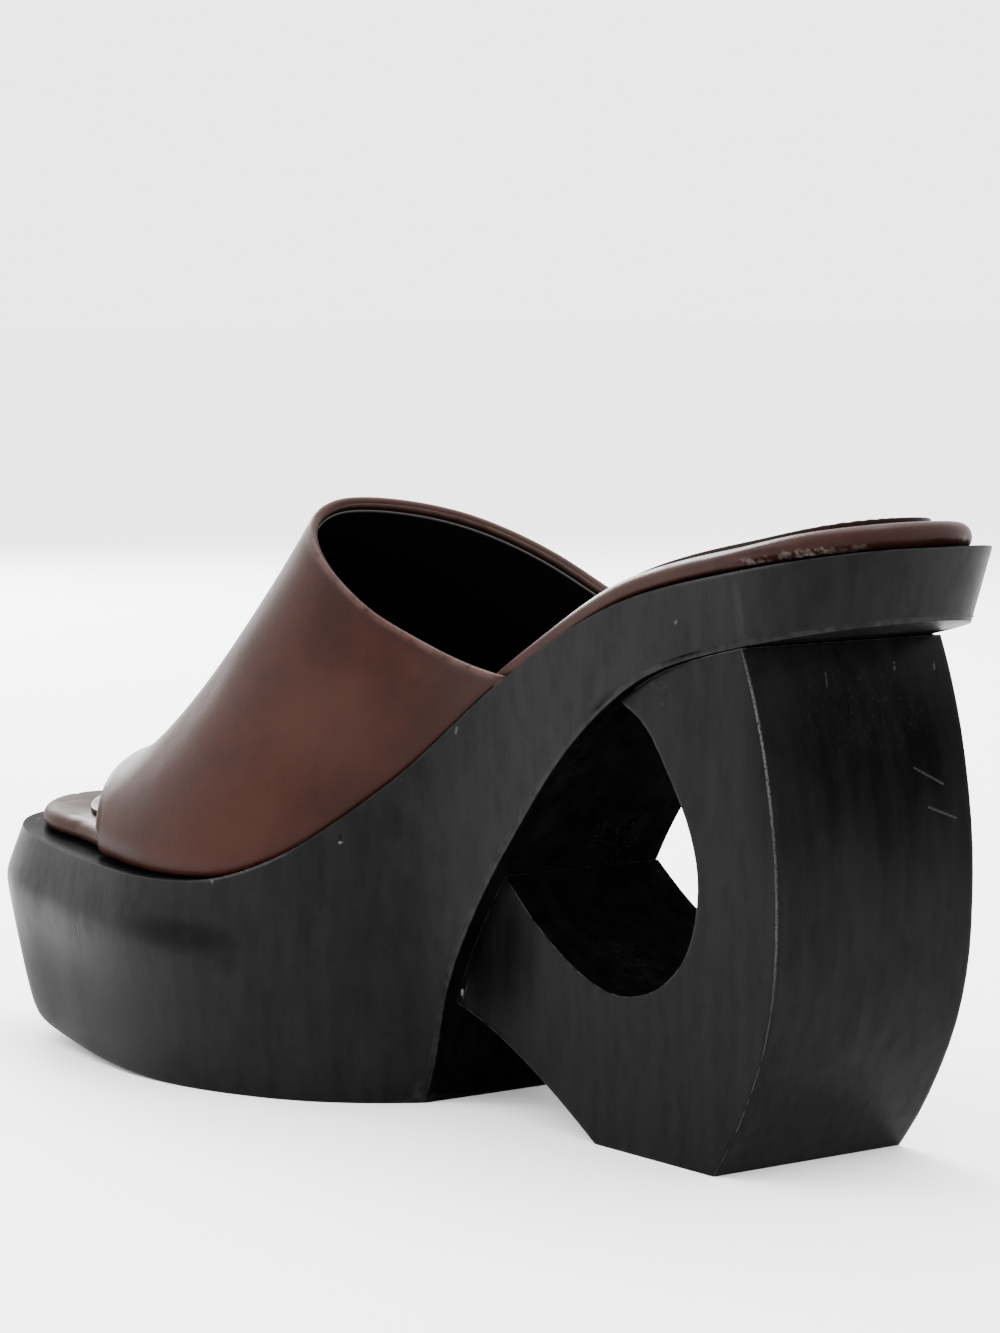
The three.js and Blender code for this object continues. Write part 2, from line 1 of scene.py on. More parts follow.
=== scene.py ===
# %% [markdown]
# A platform mule for the right foot: black stained wood, a bowed wood block with a hole behind
# it, and a brown leather band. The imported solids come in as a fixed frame, and every piece
# here is dressed on top of them. All lengths are metres, +X points to the toe, +Y to the inner
# side of the foot and +Z up.

import math

import bmesh
import bpy
from mathutils import Matrix, Vector, kdtree


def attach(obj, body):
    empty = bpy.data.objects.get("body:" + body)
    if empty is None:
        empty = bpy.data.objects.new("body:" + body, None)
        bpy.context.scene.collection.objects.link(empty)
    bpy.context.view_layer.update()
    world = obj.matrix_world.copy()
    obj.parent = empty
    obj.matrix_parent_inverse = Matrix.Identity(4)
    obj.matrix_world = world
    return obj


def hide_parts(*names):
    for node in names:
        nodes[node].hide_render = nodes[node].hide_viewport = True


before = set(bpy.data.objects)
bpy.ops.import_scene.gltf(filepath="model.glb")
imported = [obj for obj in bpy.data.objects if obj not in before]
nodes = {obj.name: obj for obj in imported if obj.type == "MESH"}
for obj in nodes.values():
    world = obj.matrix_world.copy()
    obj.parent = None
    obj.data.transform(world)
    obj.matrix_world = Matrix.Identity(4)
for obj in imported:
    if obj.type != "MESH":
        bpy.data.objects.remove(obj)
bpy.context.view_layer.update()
MM = 0.001

# %% [markdown]
# The camera looks at the shoe from its inner side and a little behind. Its place and its three
# axes were worked out from the photo: the block's arrises give the turn, and the level lines
# of the floor give the tilt. A long lens of 4200 pixels on a 1000 by 1333 picture becomes a
# focal length on Blender's 36 mm sensor, which lies along the picture's long side.

# %% Camera
CAMERA_PLACE = (-0.6499, 0.50145, 0.15946)
LOOK = Vector((0.78154654, -0.61722827, -0.09063258))
RIGHT = Vector((-0.61965395, -0.78487321, 0.00173815))
UP = Vector((0.07220792, -0.05480239, 0.99588288))
SENSOR = 36.0
PICTURE_HEIGHT = 1333
FOCAL_PIXELS = 4200

camera_data = bpy.data.cameras.new("camera")
camera_data.sensor_fit = "AUTO"
camera_data.sensor_width = SENSOR
camera_data.lens = FOCAL_PIXELS * SENSOR / PICTURE_HEIGHT
camera_data.clip_start = 0.05
camera_data.clip_end = 30
camera = bpy.data.objects.new("camera", camera_data)
camera_turn = Matrix((RIGHT, UP, -LOOK)).transposed().to_4x4()
camera.matrix_world = Matrix.Translation(CAMERA_PLACE) @ camera_turn
bpy.context.scene.collection.objects.link(camera)
bpy.context.scene.camera = camera
print("lens, mm:", round(camera_data.lens, 2))

# %% [markdown]
# The shoe stands on a plain pale sheet that runs far past the picture, so that paper and white
# room meet in one even white. One grid face is enough for it, as it is level and has no rim in
# sight.

# %% Floor
FLOOR_HALF = 12.0

sheet = bmesh.new()
bmesh.ops.create_grid(sheet, x_segments=1, y_segments=1, size=FLOOR_HALF)
floor_mesh = bpy.data.meshes.new("floor")
sheet.to_mesh(floor_mesh)
sheet.free()
floor = bpy.data.objects.new("floor", floor_mesh)
bpy.context.scene.collection.objects.link(floor)
print("floor half width, m:", FLOOR_HALF)

# %% [markdown]
# The photo is lit by a bright white room with soft boxes. One stands beyond the toe, a little
# to the outer side, and draws the pale streak down the front of the leather. A weaker one hangs
# high on the inner side ahead of the toe and greys the black toe wall. The third hangs over the
# shoe and lights what faces up. A white world and three area lamps give the same reflections.
# Real lamps are used and not painted light, so the gloss stays right from every side.

# %% World and lamps
WORLD_STRENGTH = 3.6
SHOE_MIDDLE = (0.0, 0.0, 0.06)


def lamp(name, place, size, power):
    """A soft flat lamp at place that shines towards the middle of the shoe."""
    data = bpy.data.lights.new(name, "AREA")
    data.shape = "RECTANGLE"
    data.size, data.size_y = size
    data.energy = power
    soft_box = bpy.data.objects.new(name, data)
    turn = (Vector(SHOE_MIDDLE) - Vector(place)).to_track_quat("-Z", "Y")
    soft_box.matrix_world = Matrix.Translation(place) @ turn.to_matrix().to_4x4()
    bpy.context.scene.collection.objects.link(soft_box)


world = bpy.data.worlds.new("white_room")
bpy.context.scene.world = world
world.use_nodes = True
background = world.node_tree.nodes["Background"]
background.inputs["Color"].default_value = (1.0, 1.0, 1.0, 1.0)
background.inputs["Strength"].default_value = WORLD_STRENGTH
lamp("lamp_beyond_toe", place=(1.3, -0.5, 0.75), size=(0.5, 0.9), power=40.0)
lamp("lamp_high_left", place=(0.55, 0.75, 0.95), size=(0.5, 0.5), power=10.0)
lamp("lamp_over", place=(0.1, -0.3, 1.2), size=(0.8, 0.8), power=18.0)

# %% [markdown]
# A material is a small sum written with nodes. To keep each sum readable, one class stands for
# a number that varies over the surface, so that `1 - mask * 0.5` adds its own Math nodes, and
# one method adds any other node from its type, its settings and the values of its sockets.

# %% Helpers for materials
def socket_of(value):
    """The socket behind a varying number, or the plain value itself."""
    return value.socket if isinstance(value, Varying) else value


class Varying:
    """A number that varies over a surface. Sums with it add Math nodes to its finish."""

    def __init__(self, finish, socket):
        self.finish = finish
        self.socket = socket

    def sum(self, operation, other, clamp=False):
        settings = {"operation": operation, "use_clamp": clamp}
        node = self.finish.node("ShaderNodeMath", settings, {0: self, 1: other})
        return Varying(self.finish, node.outputs[0])

    def __add__(self, other):
        return self.sum("ADD", other)

    def __sub__(self, other):
        return self.sum("SUBTRACT", other)

    def __rsub__(self, other):
        return self * -1 + other

    def __mul__(self, other):
        return self.sum("MULTIPLY", other)

    def clipped(self):
        """The number, kept between 0 and 1."""
        return self.sum("MULTIPLY", 1.0, clamp=True)

    def lowest(self, other):
        return self.sum("MINIMUM", other)

    def highest(self, other):
        return self.sum("MAXIMUM", other)


class Finish:
    """A material and the short calls that build it."""

    def __init__(self, name, roughness, specular):
        self.material = bpy.data.materials.new(name)
        self.material.use_nodes = True
        self.tree = self.material.node_tree
        self.shader = self.tree.nodes["Principled BSDF"]
        self.shader.inputs["Roughness"].default_value = roughness
        self.shader.inputs["Specular IOR Level"].default_value = specular
        self.place = self.node("ShaderNodeTexCoord", {}, {}).outputs["Object"]

    def node(self, kind, settings, inputs):
        """Any node, from its type, its settings and what goes into its sockets."""
        node = self.tree.nodes.new(kind)
        for name, value in settings.items():
            setattr(node, name, value)
        for name, value in inputs.items():
            source = socket_of(value)
            if isinstance(source, bpy.types.NodeSocket):
                self.tree.links.new(source, node.inputs[name])
            else:
                node.inputs[name].default_value = source
        return node

    def feed(self, socket, value):
        """Links a varying number, colour or normal to a socket of the shader."""
        self.tree.links.new(socket_of(value), self.shader.inputs[socket])

    def stretched(self, scale):
        """The place on the piece, scaled by a different amount along each axis."""
        return self.node("ShaderNodeMapping", {}, {"Vector": self.place, "Scale": scale}).outputs["Vector"]

    def noise(self, scale, detail=3.0, roughness=0.55, place=None, distortion=0.0):
        """Cloudy noise from 0 to 1. Scale is in clouds a metre."""
        inputs = {"Vector": place or self.place, "Scale": scale, "Detail": detail}
        inputs.update({"Roughness": roughness, "Distortion": distortion})
        return Varying(self, self.node("ShaderNodeTexNoise", {}, inputs).outputs["Fac"])

    def cells(self, scale):
        """How far a spot lies from the nearest of many scattered points, in cells."""
        inputs = {"Vector": self.place, "Scale": scale}
        return Varying(self, self.node("ShaderNodeTexVoronoi", {}, inputs).outputs["Distance"])

    def between(self, value, low, high):
        """0 where value is below low, 1 above high, and smooth in between. Low may be above high."""
        settings = {"interpolation_type": "SMOOTHSTEP"}
        inputs = {"Value": value, "From Min": low, "From Max": high}
        return Varying(self, self.node("ShaderNodeMapRange", settings, inputs).outputs["Result"])

    def painted(self, name):
        """A number that was stored on the piece's vertices."""
        node = self.node("ShaderNodeAttribute", {"attribute_name": name}, {})
        return Varying(self, node.outputs["Fac"])

    def mix(self, share, under, over):
        """Colour under, with colour over laid on by share."""
        node = self.node("ShaderNodeMix", {"data_type": "RGBA"}, {0: share, 6: under, 7: over})
        return node.outputs[2]

    def bumped(self, height, depth):
        """A normal for the shader, from a height that stands for depth in metres."""
        inputs = {"Height": height, "Distance": depth, "Strength": 1.0}
        return self.node("ShaderNodeBump", {}, inputs).outputs["Normal"]


def paint(red, green, blue):
    return (red, green, blue, 1.0)


# %% [markdown]
# Marks such as scratches sit at a place on the shoe, not at a place in the picture. A mark is a short line
# between two points of the frame, and a spot is an ellipsoid round one. The mask is worked out from the
# distance to it with vector maths, so it stays put from every side. Both are written down in millimetres.

# %% Marks by place
LINE_CORE = 0.35
SPOT_CORE = 0.2


def in_metres(triple):
    return tuple(c * MM for c in triple)


def mark(start, end, width, share, tone=0.0, rise=0):
    """A line with its half width, how much of it covers, its brightness and its relief."""
    line = (in_metres(start), in_metres(end), width * MM)
    return {"line": line, "share": share, "tone": tone, "rise": rise}


def spot(centre, radii, share):
    """An ellipsoid and how much of it counts."""
    return {"place": (in_metres(centre), in_metres(radii)), "share": share}


def near_line(finish, start, end, width):
    """1 on the core of the line from start to end, falling to 0 a width away."""
    start, end = Vector(start), Vector(end)
    along = end - start
    scaled = along / along.length_squared
    vector = "ShaderNodeVectorMath"
    offset = finish.node(vector, {"operation": "SUBTRACT"}, {0: finish.place, 1: start}).outputs[0]
    dot = finish.node(vector, {"operation": "DOT_PRODUCT"}, {0: offset, 1: scaled})
    share = Varying(finish, dot.outputs["Value"]).clipped()
    foot = finish.node(vector, {"operation": "SCALE"}, {0: along, "Scale": share}).outputs[0]
    gap = finish.node(vector, {"operation": "DISTANCE"}, {0: offset, 1: foot}).outputs["Value"]
    return finish.between(gap, width, width * LINE_CORE)


def near_point(finish, centre, radii):
    """1 on the core of an ellipsoid with these radii, falling to 0 on its skin."""
    scale = tuple(1 / r for r in radii)
    place = tuple(-c / r for c, r in zip(centre, radii))
    inputs = {"Vector": finish.place, "Scale": scale, "Location": place}
    moved = finish.node("ShaderNodeMapping", {}, inputs).outputs[0]
    gap = finish.node("ShaderNodeVectorMath", {"operation": "LENGTH"}, {0: moved}).outputs["Value"]
    return finish.between(gap, 1.0, SPOT_CORE)


# %% [markdown]
# Every piece starts from the solid it replaces, so its place and form stay true. The CAD
# triangles come back as quads, the arrises (the sharp edges where two faces meet) are found by
# their angle, and the faces between them are gathered into patches. Softening the arrises and
# subdividing the rest gives the rounded wood and leather without redrawing the form.

# %% Shape helpers
ARRIS_ANGLE = math.radians(35)
MERGE = 0.01 * MM
FLAT_OUT = math.pi
ARRIS_STEPS = 2
SWELL_REACH = 3


def quads_of(node):
    """A merged copy of a CAD mesh with its triangle pairs joined into quads."""
    mesh = bmesh.new()
    mesh.from_mesh(node.data)
    bmesh.ops.remove_doubles(mesh, verts=mesh.verts, dist=MERGE)
    bmesh.ops.join_triangles(
        mesh,
        faces=mesh.faces,
        angle_face_threshold=FLAT_OUT,
        angle_shape_threshold=FLAT_OUT,
        topology_influence=1.0,
    )
    return mesh


def arrises(mesh):
    """The edges where two faces meet at a sharp angle."""
    return [e for e in mesh.edges if len(e.link_faces) == 2 and e.calc_face_angle() > ARRIS_ANGLE]


def patches(mesh):
    """Lists of faces that join without crossing an arris, largest first."""
    borders = set(arrises(mesh))
    left = set(mesh.faces)
    found = []
    while left:
        front = [left.pop()]
        patch = []
        while front:
            face = front.pop()
            patch.append(face)
            for edge in face.edges:
                if edge not in borders:
                    fresh = [f for f in edge.link_faces if f in left]
                    left.difference_update(fresh)
                    front.extend(fresh)
        found.append(patch)
    return sorted(found, key=len, reverse=True)


def inset(mesh, faces, thickness, even=True):
    """Sets a narrow band of faces in, all round a patch, and returns the band."""
    made = bmesh.ops.inset_region(
        mesh, faces=faces, thickness=thickness, use_boundary=True, use_even_offset=even
    )
    return made["faces"]


def soften(mesh, offset, segments, edges=None):
    """Rounds the arrises and marks the rounded strip on the vertex layer called arris."""
    layer = mesh.verts.layers.float.get("arris") or mesh.verts.layers.float.new("arris")
    edges = arrises(mesh) if edges is None else edges
    rounded = bmesh.ops.bevel(
        mesh,
        geom=edges,
        offset=offset,
        segments=segments,
        profile=0.5,
        affect="EDGES",
        material=-1,
        clamp_overlap=True,
    )
    for vert in rounded["verts"]:
        vert[layer] = 1.0


def subdivided(cage_mesh, levels):
    """The bmesh once its smooth subdivision is applied. Its vertex layers come along."""
    cage_data = bpy.data.meshes.new("cage")
    cage_mesh.to_mesh(cage_data)
    cage_mesh.free()
    cage = bpy.data.objects.new("cage", cage_data)
    bpy.context.scene.collection.objects.link(cage)
    cage.modifiers.new("smooth", "SUBSURF").levels = levels
    mesh = bmesh.new()
    mesh.from_object(cage, bpy.context.evaluated_depsgraph_get())
    bpy.data.objects.remove(cage)
    mesh.normal_update()
    return mesh


def swell(gap, middle, width):
    """A soft ridge: 1 at the middle and close to 0 two widths away."""
    return math.exp(-(((gap - middle) / width) ** 2))


def dent(start, end, width, depth):
    """A trough, with a depth below zero, or a ridge along a line, all in millimetres."""
    ends = {"start": Vector(start) * MM, "end": Vector(end) * MM}
    return {**ends, "width": width * MM, "depth": depth * MM}


def dent_at(place, dents):
    """How far the skin stands out at a place because of these troughs and ridges."""
    out = 0.0
    for row in dents:
        along = row["end"] - row["start"]
        share = min(1.0, max(0.0, (place - row["start"]).dot(along) / along.length_squared))
        gap = (place - row["start"] - along * share).length
        if gap < SWELL_REACH * row["width"]:
            out += row["depth"] * swell(gap, 0.0, row["width"])
    return out


def finished(mesh, name, finish, node=None, levels=2):
    """Turns a bmesh into a smooth piece that rides on the shoe."""
    bmesh.ops.recalc_face_normals(mesh, faces=mesh.faces)
    for face in mesh.faces:
        face.smooth = True
    data = bpy.data.meshes.new(name)
    mesh.to_mesh(data)
    mesh.free()
    data.materials.append(finish.material)
    piece = bpy.data.objects.new(name, data)
    bpy.context.scene.collection.objects.link(piece)
    if levels:
        surface = piece.modifiers.new("smooth", "SUBSURF")
        surface.levels = surface.render_levels = levels
    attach(piece, "root")
    if node:
        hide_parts(node)
    print(name, "faces:", len(data.polygons))
    return piece


print("solids of the frame:", sorted(nodes))

# %% [markdown]
# Worn wood is known by its marks. These were found one by one in the photo and placed on the model: small
# scratches, nicks and dabs, stretches where the wax has gone dull, which also take a slight painted shade,
# speckled scuffs and arrises that are rubbed through. Two rows are painted light instead of wear: a wide
# dark band of painted shade on the toe wall and a pale upright band of painted highlight on the side of
# the seat. Lists of plain rows keep them easy to move or leave out.

# %% Marks on the wood
# A tone of 0 is a dark smudge, and a rise below 0 sinks in
BODY_MARKS = [
    mark((28.0, 38.6, 42.8), (27.2, 38.8, 41.8), width=0.7, share=0.8, tone=0.05, rise=-1),
    mark((-12.4, 15.3, 70.9), (-11.9, 15.3, 71.6), width=0.45, share=0.7, tone=0.03),
    mark((-19.7, 14.3, 75.2), (-19.4, 14.3, 74.2), width=0.45, share=0.7, tone=0.03),
    mark((2.9, 25.1, 52.8), (2.9, 25.1, 52.0), width=0.7, share=0.9, tone=0.0, rise=-3),
    mark((2.4, 25.0, 51.7), (3.2, 25.2, 51.6), width=0.4, share=0.7, tone=0.1, rise=1),
    mark((-81.7, 12.9, 99.2), (-82.1, 12.9, 99.5), width=0.4, share=0.8, tone=0.03),
    # Painted highlight: a pale upright band where the side of the seat turns round towards its back
    mark((-97.6, 11.8, 109), (-98.6, 11.8, 95), width=1.5, share=0.6, tone=0.008),
    mark((-6.1, 10.8, 12.2), (-5.4, 10.3, 3.2), width=0.3, share=0.7, tone=0.014),
    mark((68.9, 43.6, 29.5), (68.7, 43.7, 26.6), width=0.35, share=0.6, tone=0.015, rise=-1),
    # Painted shade: a wide dark band along the toe wall below the ridge, where the wall turns down
    mark((50, 43.8, 33.0), (25, 38.0, 28.8), width=6.0, share=0.6, tone=0.0),
    mark((112, 25.2, 45.6), (110.6, 26.6, 45.6), width=0.5, share=0.8, tone=0.06, rise=1),
    mark((107, 28.6, 45.4), (105.4, 30.0, 45.3), width=0.4, share=0.6, tone=0.05, rise=1),
]
BLOCK_MARKS = [
    mark((-106.6, -22.6, 72.9), (-107.3, -29.3, 69.6), width=0.3, share=0.8, tone=0.02, rise=-1),
    mark((-107.9, -25.2, 65.7), (-108.3, -31.7, 63.3), width=0.3, share=0.8, tone=0.02, rise=-1),
    mark((-101.3, -22.7, 91.6), (-101.6, -22.3, 90.4), width=0.35, share=0.8, tone=0.025, rise=-1),
    mark((-101.6, -32.4, 91.2), (-101.9, -32.1, 90.0), width=0.35, share=0.8, tone=0.025, rise=-1),
    mark((-101.5, -5.4, 90.6), (-102.3, -5.1, 88.2), width=0.3, share=0.7, tone=0.02, rise=-1),
    mark((-28.2, 10.4, 47.9), (-13.4, 8.1, 21.2), width=0.4, share=0.7, tone=0.02, rise=1),
    mark((-13.5, 8.1, 23.0), (-13.3, 8.1, 22.5), width=0.6, share=0.9, tone=0.15, rise=1),
]

# Where the wax has gone dull; these spots also take the painted shade of the unwaxed shader
BODY_DULL = [
    spot((95, 30, 14), (70, 44, 17), share=0.55),
    spot((36, 41, 31), (24, 12, 5), share=0.45),
]
BLOCK_DULL = [
    spot((-22, 9, 34), (24, 8, 24), share=0.9),
    spot((-106, -14, 78), (9, 46, 40), share=0.86),
]
# Pale speckled scuffs on the wood
BODY_SCUFFS = [
    spot((-32, -14, 52), (14, 14, 14), share=0.5),
    spot((110, 26, 46), (10, 8, 4), share=0.5),
]
BLOCK_SCUFFS = [
    spot((-62, -20, 34), (16, 14, 10), share=0.6),
    spot((-50, -4, 31), (14, 9, 8), share=0.4),
    spot((-76, 12, 86), (8, 3, 7), share=0.35),
    spot((-103, -14, 84), (8, 28, 14), share=0.22),
]
# Where an arris is rubbed through to paler wood
BODY_RUBS = [
    spot((70, 38, 46), (66, 16, 7), share=0.45),
    spot((20, 36, 46), (30, 12, 8), share=0.5),
    spot((-90, 13, 110), (40, 4, 8), share=0.35),
]
BLOCK_RUBS = [
    spot((-104, 13, 78), (14, 3, 30), share=1.0),
    spot((-108, 13, 50), (10, 3, 26), share=0.6),
]

# %% [markdown]
# The wood is a pale one such as lime, carved, sanded and stained black. Stain lets a little of
# the grain through and wears off along the arrises. So the colour is a near black with long
# upright streaks, which wider clouds of noise break up, and it goes pale where it is worn.

# %% Wood colours
STAIN_DEEP = paint(0.0010, 0.0009, 0.0010)
STAIN_THIN = paint(0.0032, 0.0030, 0.0032)
STAIN_RUBBED = paint(0.0065, 0.0060, 0.0062)
STAIN_GONE = paint(0.05, 0.047, 0.045)
DUST = paint(0.05, 0.048, 0.046)
SCUFFED = paint(0.028, 0.025, 0.023)
# Painted shade: the unwaxed shader's colour is mixed a little toward this black
HOLLOW_SHADE = paint(0.0, 0.0, 0.0)
STREAK_SCALE = 260
STREAK_LENGTH = (1.0, 1.0, 0.12)
CLOUD_SCALE = 34
GRIT_SCALE = 2600
WOOD_RELIEF = 0.06 * MM
MARK_WARMTH = (1.0, 0.96, 0.93)


def stain(finish, streaks, clouds):
    """The colour of the stained grain, with soft patches where the stain is rubbed thin."""
    tone = finish.between(streaks * 0.6 + clouds * 0.4, 0.36, 0.66)
    rubbed = finish.between(finish.noise(70, detail=5.0, roughness=0.65), 0.54, 0.72)
    return finish.mix(rubbed * 0.25, finish.mix(tone, STAIN_DEEP, STAIN_THIN), STAIN_RUBBED)


def worn_arrises(finish, grit, wear, rubs):
    """How far the arrises are worn: a little all along, more where the rubs lie."""
    arris = finish.painted("arris")
    broken = finish.between(finish.noise(420, detail=4.0), 0.35, 0.6)
    worn = finish.between(arris, 0.75, 1.0) * broken * wear
    gritty = finish.between(arris, 0.45, 0.9) * finish.between(grit, 0.3, 0.6)
    for rub in rubs:
        worn = worn.highest(gritty * near_point(finish, *rub["place"]) * rub["share"])
    return worn


def dulled_and_shaded(finish, dull):
    """How far the wood lacks wax and takes the painted shade: the raw faces, a faint mottle all over and
    the dull spots.
    """
    brushed = finish.stretched((1.0, 1.0, 0.35))
    mottle = finish.noise(380, detail=5.0, roughness=0.7, place=brushed)
    raw_shaded = finish.painted("raw_shaded").highest(finish.between(mottle, 0.42, 0.66) * 0.17)
    for area in dull:
        raw_shaded = raw_shaded.highest(near_point(finish, *area["place"]) * area["share"])
    return raw_shaded


# %% [markdown]
# Wax goes over the stain, and the roughness and a low bump follow the grain. Only the faces that a cloth
# can reach are waxed. Inside the arch and the hole the stain stays dull, so a second shader without any
# gloss is mixed in there by a layer painted on the vertices. That shader's colour is also mixed a little
# toward black, a painted shade for the hollows, and it falls as well on the rim top, the dull spots and
# the faint mottle.

# %% Wood finish
def wood(name, gloss, wear, marks, dull, rubs, scuffs):
    """Black stained wood. Gloss is how much the wax shines, and wear is for the arrises."""
    finish = Finish(name, roughness=0.42, specular=gloss)
    long_grain = finish.stretched(STREAK_LENGTH)
    streaks = finish.noise(STREAK_SCALE, detail=6.0, roughness=0.6, place=long_grain)
    clouds = finish.noise(CLOUD_SCALE, detail=4.0, roughness=0.6)
    grit = finish.noise(GRIT_SCALE, detail=2.0, roughness=0.5)
    worn = worn_arrises(finish, grit, wear, rubs)
    colour = finish.mix(worn, stain(finish, streaks, clouds), STAIN_GONE)
    specks = finish.between(finish.cells(700), 0.1, 0.04)
    dusty = finish.between(finish.noise(55), 0.58, 0.7)
    colour = finish.mix(specks * dusty * 0.5, colour, DUST)
    speckle = finish.between(finish.noise(1100, detail=5.0, roughness=0.75), 0.55, 0.68)
    for scuff in scuffs:
        mask = near_point(finish, *scuff["place"]) * speckle * scuff["share"]
        colour = finish.mix(mask, colour, SCUFFED)
    height = streaks * 0.6 + grit * 0.25 + clouds * 0.5
    for row in marks:
        mask = near_line(finish, *row["line"]) * finish.between(finish.noise(900), 0.3, 0.5)
        mark_colour = paint(*(row["tone"] * part for part in MARK_WARMTH))
        colour = finish.mix(mask * row["share"], colour, mark_colour)
        height = height + mask * row["rise"]
    rough = finish.between(clouds, 0.3, 0.75) * 0.14 + worn * 0.1 + streaks * 0.1 + 0.3
    relief = finish.bumped(height, WOOD_RELIEF)
    finish.feed("Base Color", colour)
    finish.feed("Roughness", rough)
    finish.feed("Normal", relief)
    # Painted shade: the unwaxed copy of the wood is mixed 15 percent toward black
    unwaxed_shaded = {"Base Color": finish.mix(0.15, colour, HOLLOW_SHADE), "Normal": relief}
    unwaxed_shaded.update({"Roughness": 0.95, "Specular IOR Level": 0.0})
    raw_shaded_wood = finish.node("ShaderNodeBsdfPrincipled", {}, unwaxed_shaded)
    shaders = {0: dulled_and_shaded(finish, dull), 1: finish.shader.outputs[0], 2: raw_shaded_wood.outputs[0]}
    mixed = finish.node("ShaderNodeMixShader", {}, shaders)
    surface = finish.tree.nodes["Material Output"].inputs["Surface"]
    finish.tree.links.new(mixed.outputs[0], surface)
    print(name, "nodes:", len(finish.tree.nodes))
    return finish


# %% [markdown]
# The body is one carved piece: platform, arch and heel seat. A carver breaks every arris with
# sandpaper, so they are rounded by half a millimetre. A narrow band of faces is set in beside
# each arris first. It holds the rounding tight when the wide faces are subdivided.

# %% Wood body
BODY_ARRIS = 0.5 * MM
BODY_HOLD = 1.1 * MM
ARCH_FROM = -105 * MM
ARCH_TO = -3 * MM
ACROSS = 0.5
ARCH_LEAN = -0.3
RIM_LEAN = 0.6
RIM_RAW_SHADED = 0.9


def mark_raw_shaded(mesh, start, end, is_raw):
    """Marks the unwaxed faces that run across the shoe between two places along it, which also take the
    painted shade.
    """
    layer = mesh.verts.layers.float.new("raw_shaded")
    mesh.normal_update()
    for vert in mesh.verts:
        across = abs(vert.normal.y) < ACROSS
        if across and start < vert.co.x < end and is_raw(vert.normal):
            vert[layer] = 1.0
    return layer


body = quads_of(nodes["platform"])
for patch in patches(body):
    inset(body, patch, BODY_HOLD)
soften(body, BODY_ARRIS, ARRIS_STEPS)
raw_shaded_layer = mark_raw_shaded(body, ARCH_FROM, ARCH_TO, lambda normal: min(normal.x, normal.z) < ARCH_LEAN)
# The rim top faces are unwaxed too, so they take the painted shade as well
for vert in body.verts:
    if vert.normal.z > RIM_LEAN:
        vert[raw_shaded_layer] = RIM_RAW_SHADED
body_wood = wood(
    "body_wood",
    gloss=0.06,
    wear=0.1,
    marks=BODY_MARKS,
    dull=BODY_DULL,
    rubs=BODY_RUBS,
    scuffs=BODY_SCUFFS,
)
finished(body, "wood_body", body_wood, "platform")

# %% [markdown]
# The heel block is sawn flat on both sides and its back is bowed. Its sides stay flat, so only
# the arrises are rounded. On the outer side the saw cut turns by a few degrees above the foot;
# cutting that side at close planes and easing the turn over them makes it a soft fold.

# %% Heel block
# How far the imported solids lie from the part's own frame
MODEL_SHIFT = Vector((-123.455, -11.762, 0.0)) * MM
FOLD_X = 32.2 * MM + MODEL_SHIFT.x
FOLD_REACH = 6 * MM
FOLD_STEP = 1.5 * MM
OUTER_HALF = 23 * MM
OUTER_FLARE = 0.012
OUTER_TAPER = 0.096
BLOCK_ARRIS = 0.4 * MM
BLOCK_HOLD = 1.0 * MM
HOLE_FROM = -88 * MM
HOLE_TO = 0.0
FLAT_SIDE = 0.9


def eased(ahead):
    """Zero well behind the fold, ahead well past it, and a soft turn in between."""
    if abs(ahead) >= FOLD_REACH:
        return max(0.0, ahead)
    return (ahead + FOLD_REACH) ** 2 / (4 * FOLD_REACH)


block = bmesh.new()
block.from_mesh(nodes["heel_block"].data)
bmesh.ops.remove_doubles(block, verts=block.verts, dist=MERGE)
for side in (1, -1):
    flat = [f for f in block.faces if f.normal.y * side > FLAT_SIDE]
    bmesh.ops.dissolve_faces(block, faces=flat, use_verts=False)
bmesh.ops.join_triangles(
    block,
    faces=[f for f in block.faces if len(f.verts) == 3],
    angle_face_threshold=FLAT_OUT,
    angle_shape_threshold=FLAT_OUT,
)
cuts = int(FOLD_REACH / FOLD_STEP)
for k in range(-cuts, cuts + 1):
    outer = [f for f in block.faces if f.normal.y < -FLAT_SIDE]
    outer_edges = list({e for f in outer for e in f.edges})
    outer_verts = list({v for f in outer for v in f.verts})
    bmesh.ops.bisect_plane(
        block,
        geom=outer + outer_edges + outer_verts,
        dist=MERGE,
        plane_co=(FOLD_X + k * FOLD_STEP, 0, 0),
        plane_no=(1, 0, 0),
    )
for vert in block.verts:
    if vert.co.y < MODEL_SHIFT.y:
        half = OUTER_HALF + OUTER_FLARE * vert.co.z - OUTER_TAPER * eased(vert.co.x - FOLD_X)
        vert.co.y = MODEL_SHIFT.y - half
block.normal_update()
for patch in patches(block):
    inset(block, patch, BLOCK_HOLD, even=False)
soften(block, BLOCK_ARRIS, ARRIS_STEPS)
mark_raw_shaded(block, HOLE_FROM, HOLE_TO, lambda normal: True)
block_wood = wood(
    "block_wood",
    gloss=0.035,
    wear=0.4,
    marks=BLOCK_MARKS,
    dull=BLOCK_DULL,
    rubs=BLOCK_RUBS,
    scuffs=BLOCK_SCUFFS,
)
finished(block, "heel_block_wood", block_wood, "heel_block", levels=0)

# %% [markdown]
# The band is one strip of smooth brown leather, pulled over a last while damp and folded under
# at both edges. The fold leaves a low bead beside each edge. Softening the edges, subdividing
# the skins and then moving the points in and out gives the bead and the few soft dents that the
# leather keeps. Each point also stores how far it lies from the two edges, for the finish.

